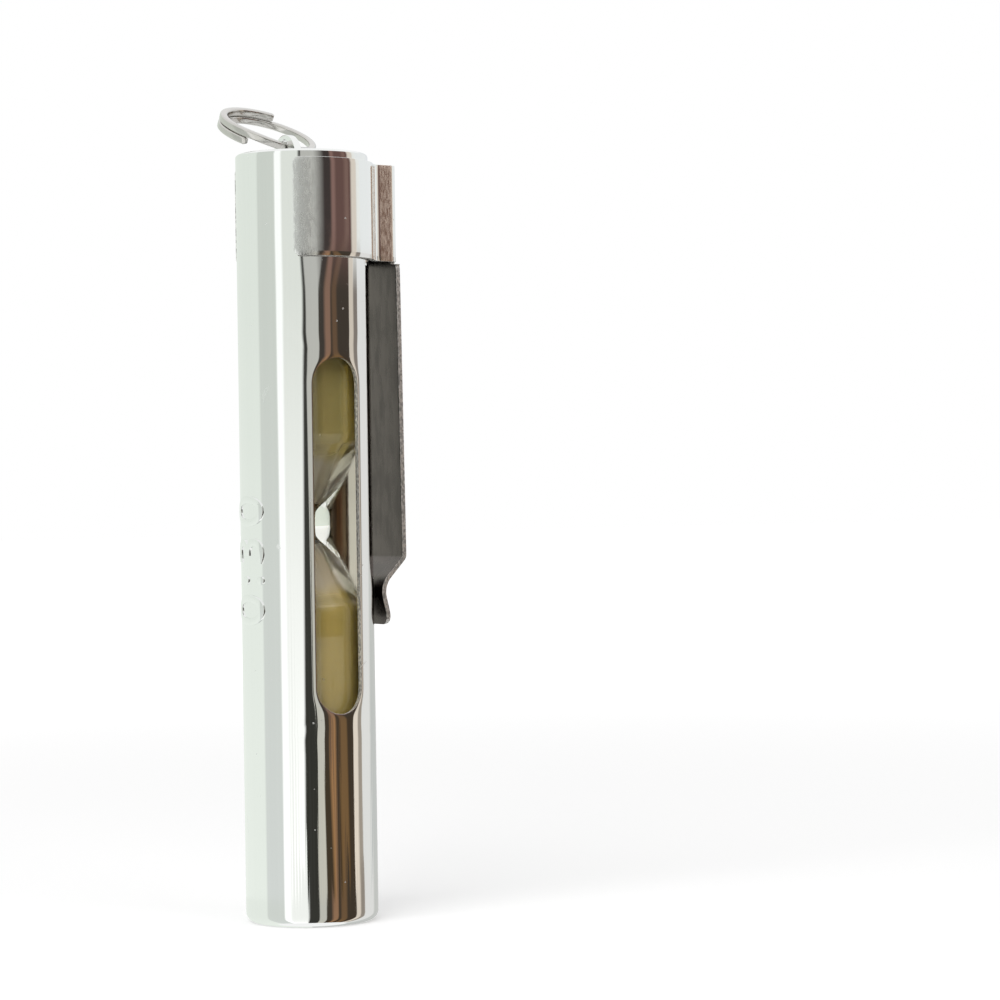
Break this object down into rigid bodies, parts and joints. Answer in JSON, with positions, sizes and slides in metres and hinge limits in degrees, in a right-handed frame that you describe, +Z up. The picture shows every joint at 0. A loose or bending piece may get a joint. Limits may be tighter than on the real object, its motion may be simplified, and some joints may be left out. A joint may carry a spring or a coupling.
{
  "type": "pocket sand timer",
  "caption": "Pocket sand timer: a sealed sand glass in a slotted chromed tube with viewing windows, a pocket clip and a split ring on a lug.",
  "frame": {"origin": "centre of the flat base, on the case's axis", "axes": "+Z up the case's axis towards the ring, +X towards the pocket clip, windows facing -Y and +Y"},
  "size_m": [0.0172, 0.0174, 0.087],
  "materials": {
    "case_chrome": "bright plated",
    "cap_chrome": "bright plated",
    "clip_chrome": "bright plated with a few rubbed patches",
    "ring_steel": "bright nickel",
    "clear_glass": "clear blown glass",
    "golden_sand": "fine dry golden sand",
    "cork": "pressed cork"
  },
  "bodies": {
    "case": {"case_tube": "case_chrome", "end_cap": "cap_chrome", "ring_lug": "cap_chrome", "clip_band": "clip_chrome", "sand_glass": "clear_glass", "sand": "golden_sand", "lower_pad": "cork", "upper_pad": "cork"},
    "ring": {"split_ring": "ring_steel"},
    "strap": {"clip_strap": "clip_chrome"}
  },
  "joints": [
    {"name": "ring_swing", "type": "hinge", "parent": "case", "child": "ring", "pos_m": [-0.0017, 0, 0.08175], "axis": [0.9976, 0, -0.0698], "range_deg": [-17, 146]},
    {"name": "clip_flex", "type": "hinge", "parent": "case", "child": "strap", "pos_m": [0.00965, 0, 0.06945], "axis": [0, -1, 0], "range_deg": [0, 4.5], "stiffness_Nm_per_rad": 1.4, "springref_deg": -1.15}
  ]
}
